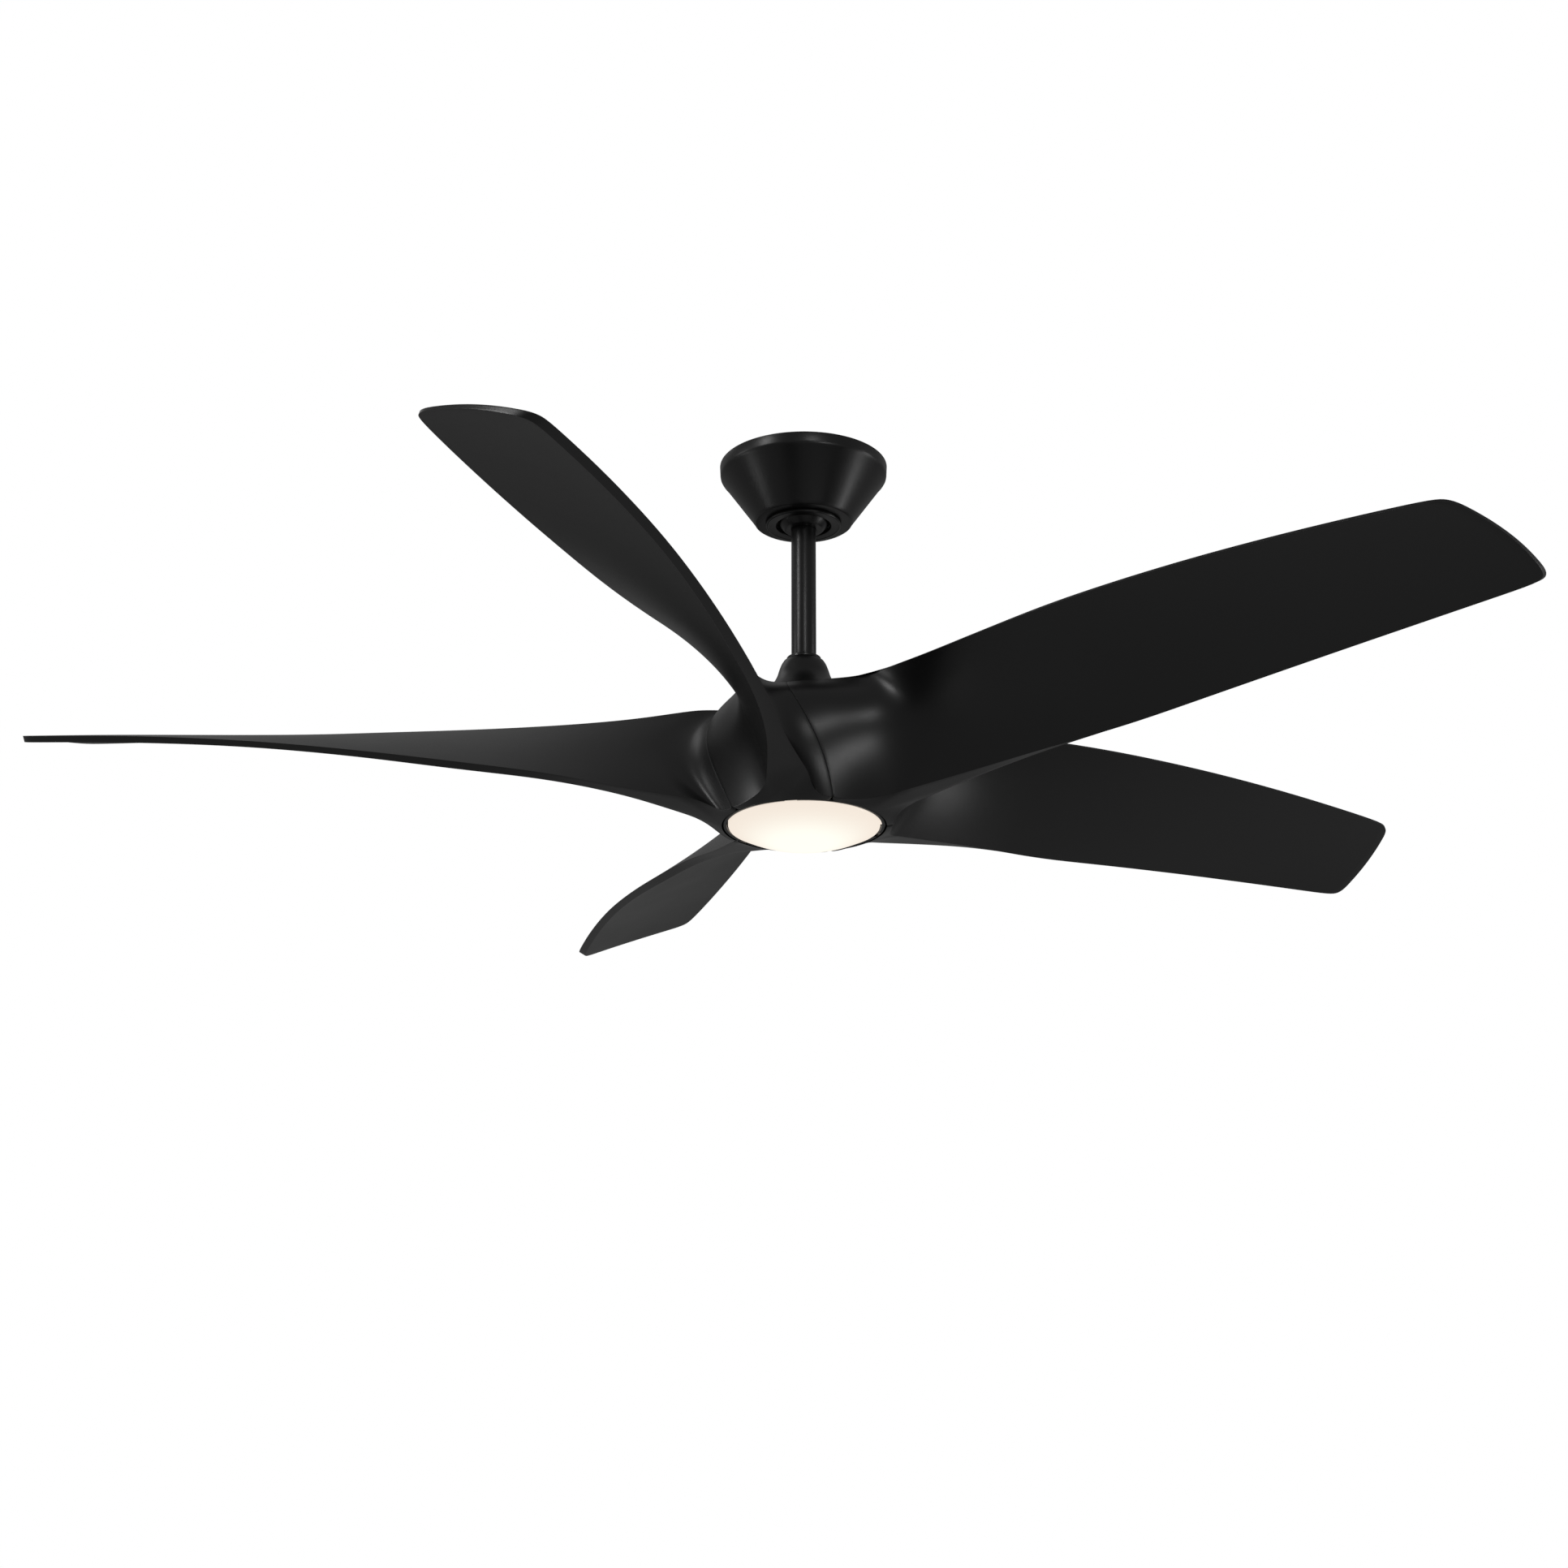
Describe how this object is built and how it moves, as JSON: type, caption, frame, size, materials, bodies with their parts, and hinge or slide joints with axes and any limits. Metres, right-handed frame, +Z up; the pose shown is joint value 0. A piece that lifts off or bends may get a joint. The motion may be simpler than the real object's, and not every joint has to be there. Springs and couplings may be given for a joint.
{
  "type": "ceiling fan with light",
  "caption": "Black ceiling fan on a short downrod, with pitched, twisted blades moulded in one with their hub sectors and a round opal light in the hub's underside.",
  "frame": {"origin": "centre of the hanger bracket's flat face against the ceiling", "axes": "+Z up into the ceiling, along the downrod and the fan's spin axis; +X along the hanger bracket's web and the tilt axis of the hanger ball"},
  "size_m": [1.21, 1.2596, 0.349],
  "materials": {
    "black_plastic": "satin moulded ABS",
    "black_painted_metal": "satin black powder coat",
    "zinc_plated_steel": "zinc plated",
    "screw_steel": "bright zinc plated",
    "bare_steel": "ground and laminated steel",
    "copper": "enamelled copper wire",
    "magnet": "sintered ferrite",
    "aluminium": "die cast, plain",
    "circuit_board": "green solder mask",
    "white_board": "white solder mask",
    "opal_lens": "opal diffuser, lit",
    "nylon": "moulded nylon",
    "wire_insulation": "cable insulation"
  },
  "bodies": {
    "ceiling_mount": {"hanger_bracket": "zinc_plated_steel", "ball_seat_pad": "nylon", "ceiling_screw_1": "screw_steel", "ceiling_screw_2": "screw_steel", "ground_screw": "screw_steel", "canopy": "black_painted_metal", "canopy_ring": "black_painted_metal", "canopy_screw_1": "screw_steel", "canopy_screw_2": "screw_steel", "receiver_box": "black_plastic"},
    "suspension": {"hanger_ball": "black_painted_metal", "ball_pin": "screw_steel", "ball_set_screw": "screw_steel", "downrod": "black_painted_metal", "coupling_cover": "black_painted_metal", "motor_yoke": "zinc_plated_steel", "yoke_pin": "screw_steel", "yoke_clip": "screw_steel", "yoke_set_screw_1": "screw_steel", "yoke_set_screw_2": "screw_steel", "stator_shaft": "bare_steel", "stator_core": "bare_steel", "winding_upper": "copper", "winding_lower": "copper", "upper_bearing_inner": "bare_steel", "lower_bearing_inner": "bare_steel", "driver_board": "circuit_board", "light_plate": "aluminium", "led_board": "white_board", "lens_ring": "black_painted_metal", "lens_ring_screw_1": "screw_steel", "lens_ring_screw_2": "screw_steel", "lens_ring_screw_3": "screw_steel", "shaft_nut": "screw_steel", "wire_harness": "wire_insulation"},
    "rotor": {"rotor_cup": "aluminium", "rotor_cover": "aluminium", "magnet_ring": "magnet", "upper_bearing_outer": "bare_steel", "lower_bearing_outer": "bare_steel", "hub_crown": "black_plastic", "blade_1": "black_plastic", "blade_2": "black_plastic", "blade_3": "black_plastic", "blade_4": "black_plastic", "blade_5": "black_plastic", "blade_screw_1": "screw_steel", "blade_screw_2": "screw_steel", "blade_screw_3": "screw_steel", "blade_screw_4": "screw_steel", "blade_screw_5": "screw_steel", "blade_screw_6": "screw_steel", "blade_screw_7": "screw_steel", "blade_screw_8": "screw_steel", "blade_screw_9": "screw_steel", "blade_screw_10": "screw_steel"},
    "lens": {"lens": "opal_lens"}
  },
  "joints": [
    {"name": "hanger_tilt", "type": "hinge", "parent": "ceiling_mount", "child": "suspension", "pos_m": [0, 0, -0.0415], "axis": [1, 0, 0], "range_deg": [-15, 15]},
    {"name": "rotor_spin", "type": "hinge", "parent": "suspension", "child": "rotor", "pos_m": [0, 0, -0.27], "axis": [0, 0, 1], "continuous": true},
    {"name": "lens_twist", "type": "hinge", "parent": "suspension", "child": "lens", "pos_m": [0, 0, -0.33], "axis": [0, 0, 1], "range_deg": [0, 20]}
  ]
}
